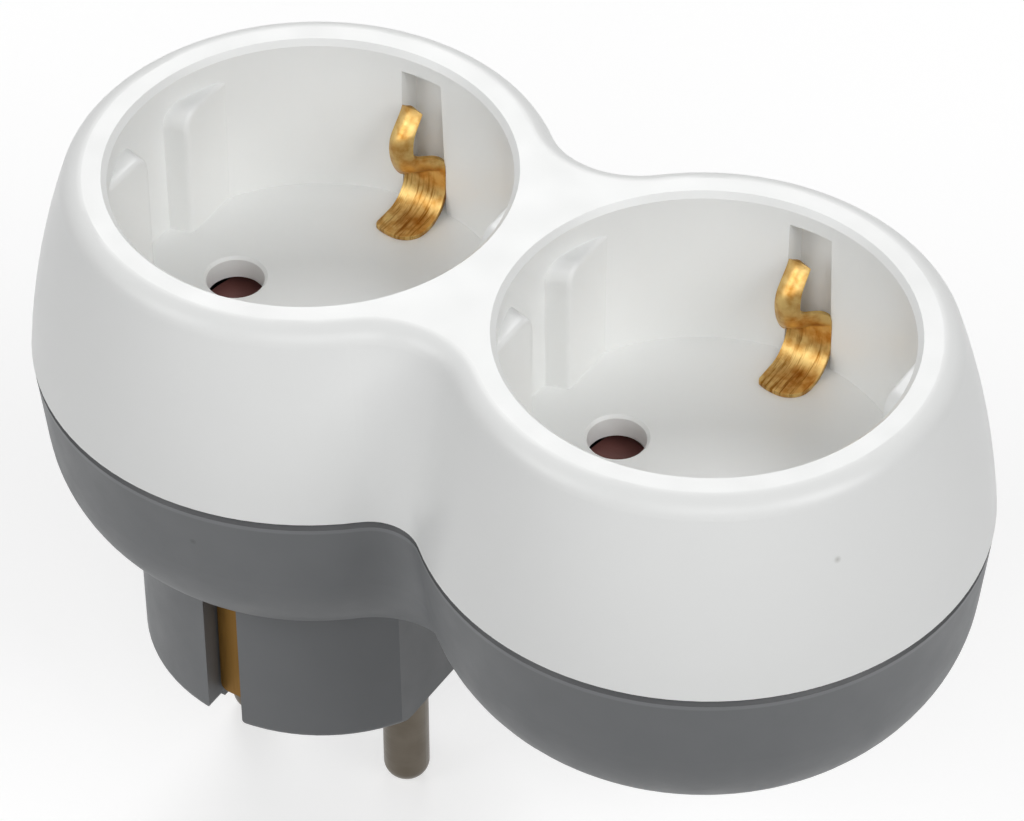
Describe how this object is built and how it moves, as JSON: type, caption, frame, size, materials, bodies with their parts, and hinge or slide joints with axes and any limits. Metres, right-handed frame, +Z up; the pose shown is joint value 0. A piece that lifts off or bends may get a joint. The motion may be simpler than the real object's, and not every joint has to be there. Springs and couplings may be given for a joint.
{
  "type": "socket adapter",
  "caption": "Earthed multi-socket adapter: white figure-of-eight cover with round wells, grey base shell, plug nose with solid pins, brass earth clips and sprung shutters.",
  "frame": {"origin": "on the plug's axis, in the plug nose's flat face, midway between its pins", "axes": "+Z up, out of the sockets; +X along the housing from the socket over the plug to the second socket"},
  "size_m": [0.0998, 0.0558, 0.0776],
  "materials": {
    "cover_plastic": "smooth moulded white",
    "base_plastic": "satin moulded grey",
    "pin_nickel": "nickel plated, drawn",
    "contact_brass": "rolled strip brass",
    "shutter_plastic": "moulded brown",
    "retainer_plastic": "moulded natural",
    "spring_steel": "bright strip steel",
    "screw_steel": "zinc plated"
  },
  "bodies": {
    "housing": {"top_cover": "cover_plastic", "base_shell": "base_plastic", "plug_pin_line": "pin_nickel", "plug_pin_neutral": "pin_nickel", "line_bar": "contact_brass", "neutral_bar": "contact_brass", "contact_1_line": "contact_brass", "contact_1_neutral": "contact_brass", "contact_2_line": "contact_brass", "contact_2_neutral": "contact_brass", "contact_rivets": "contact_brass", "earth_rivets": "contact_brass", "earth_rail_front": "contact_brass", "earth_rail_rear": "contact_brass", "earth_clip_1_front": "contact_brass", "earth_clip_1_rear": "contact_brass", "earth_clip_2_front": "contact_brass", "earth_clip_2_rear": "contact_brass", "plug_earth_front": "contact_brass", "plug_earth_rear": "contact_brass", "shutter_retainer_1": "retainer_plastic", "shutter_retainer_2": "retainer_plastic", "shutter_spring_1": "spring_steel", "shutter_spring_2": "spring_steel", "housing_screws": "screw_steel"},
    "shutter_1": {"shutter_1": "shutter_plastic"},
    "shutter_2": {"shutter_2": "shutter_plastic"}
  },
  "joints": [
    {"name": "shutter_1_turn", "type": "hinge", "parent": "housing", "child": "shutter_1", "pos_m": [0, 0, 0.03695], "axis": [0, 0, 1], "range_deg": [0, 45], "stiffness_Nm_per_rad": 0.001, "springref_deg": -22.92, "deforming": ["shutter_spring_1"]},
    {"name": "shutter_2_turn", "type": "hinge", "parent": "housing", "child": "shutter_2", "pos_m": [0.044, 0, 0.03695], "axis": [0, 0, 1], "range_deg": [0, 45], "stiffness_Nm_per_rad": 0.001, "springref_deg": -22.92, "deforming": ["shutter_spring_2"]}
  ]
}
